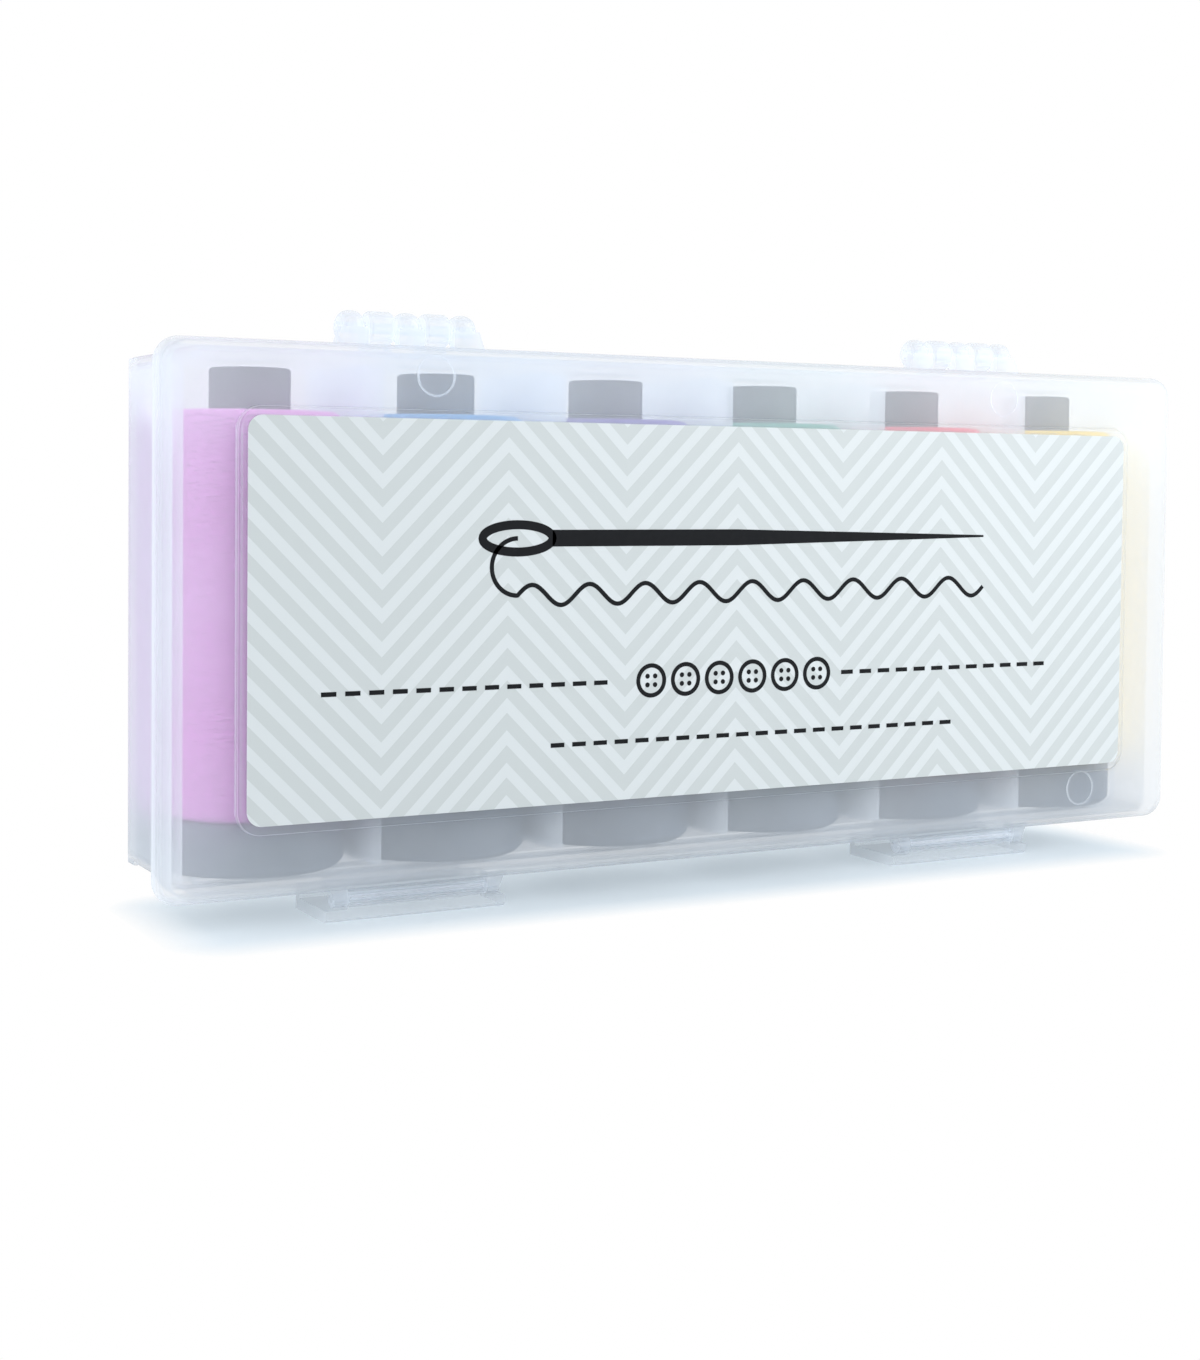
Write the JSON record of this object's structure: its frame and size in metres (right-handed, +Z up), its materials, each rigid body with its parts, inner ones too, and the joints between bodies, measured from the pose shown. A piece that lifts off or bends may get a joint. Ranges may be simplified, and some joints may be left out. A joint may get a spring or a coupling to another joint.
{
  "type": "thread box",
  "caption": "Clear hinged plastic case with swing latches that stands upright and holds wound sewing-thread spools in a row of divided compartments.",
  "frame": {"origin": "on the table under the middle of the case's length and depth, where the latch plates rest", "axes": "+X along the case to the right as seen from the lid, +Y from the lid to the base's back, +Z up towards the hinges"},
  "size_m": [0.1924, 0.0346, 0.093],
  "materials": {
    "clear_plastic": "clear, slightly milky moulded plastic",
    "label": "printed film with a satin coat",
    "cap_plastic": "smooth satin plastic",
    "core_plastic": "fine-grained dark plastic",
    "pink_thread": "wound cotton thread",
    "blue_thread": "wound cotton thread",
    "violet_thread": "wound cotton thread",
    "green_thread": "wound cotton thread",
    "red_thread": "wound cotton thread",
    "yellow_thread": "wound cotton thread"
  },
  "bodies": {
    "base": {"base_tray": "clear_plastic", "left_hinge_pin": "clear_plastic", "right_hinge_pin": "clear_plastic"},
    "lid": {"lid_shell": "clear_plastic", "front_label": "label", "left_latch_pin": "clear_plastic", "right_latch_pin": "clear_plastic"},
    "left_latch": {"left_latch": "clear_plastic"},
    "right_latch": {"right_latch": "clear_plastic"},
    "pink_spool": {"pink_spool_core": "core_plastic", "pink_spool_cap": "cap_plastic", "pink_thread_package": "pink_thread", "pink_thread_winding": "pink_thread"},
    "blue_spool": {"blue_spool_core": "core_plastic", "blue_spool_cap": "cap_plastic", "blue_thread_package": "blue_thread", "blue_thread_winding": "blue_thread"},
    "violet_spool": {"violet_spool_core": "core_plastic", "violet_spool_cap": "cap_plastic", "violet_thread_package": "violet_thread", "violet_thread_winding": "violet_thread"},
    "green_spool": {"green_spool_core": "core_plastic", "green_spool_cap": "cap_plastic", "green_thread_package": "green_thread", "green_thread_winding": "green_thread"},
    "red_spool": {"red_spool_core": "core_plastic", "red_spool_cap": "cap_plastic", "red_thread_package": "red_thread", "red_thread_winding": "red_thread"},
    "yellow_spool": {"yellow_spool_core": "core_plastic", "yellow_spool_cap": "cap_plastic", "yellow_thread_package": "yellow_thread", "yellow_thread_winding": "yellow_thread"}
  },
  "joints": [
    {"name": "lid_hinge", "type": "hinge", "parent": "base", "child": "lid", "pos_m": [0, -0.0054, 0.0904], "axis": [-1, 0, 0], "range_deg": [0, 180]},
    {"name": "left_latch_swing", "type": "hinge", "parent": "lid", "child": "left_latch", "pos_m": [-0.0531, -0.009, 0.0035], "axis": [-1, 0, 0], "range_deg": [0, 100]},
    {"name": "right_latch_swing", "type": "hinge", "parent": "lid", "child": "right_latch", "pos_m": [0.0531, -0.009, 0.0035], "axis": [-1, 0, 0], "range_deg": [0, 100]},
    {"name": "pink_spool_spin", "type": "hinge", "parent": "base", "child": "pink_spool", "pos_m": [-0.07712, -0.0002, 0.00855], "axis": [0, 0, 1], "continuous": true},
    {"name": "blue_spool_spin", "type": "hinge", "parent": "base", "child": "blue_spool", "pos_m": [-0.04627, -0.0002, 0.00855], "axis": [0, 0, 1], "continuous": true},
    {"name": "violet_spool_spin", "type": "hinge", "parent": "base", "child": "violet_spool", "pos_m": [-0.01542, -0.0002, 0.00855], "axis": [0, 0, 1], "continuous": true},
    {"name": "green_spool_spin", "type": "hinge", "parent": "base", "child": "green_spool", "pos_m": [0.01542, -0.0002, 0.00855], "axis": [0, 0, 1], "continuous": true},
    {"name": "red_spool_spin", "type": "hinge", "parent": "base", "child": "red_spool", "pos_m": [0.04627, -0.0002, 0.00855], "axis": [0, 0, 1], "continuous": true},
    {"name": "yellow_spool_spin", "type": "hinge", "parent": "base", "child": "yellow_spool", "pos_m": [0.07712, -0.0002, 0.00855], "axis": [0, 0, 1], "continuous": true}
  ]
}
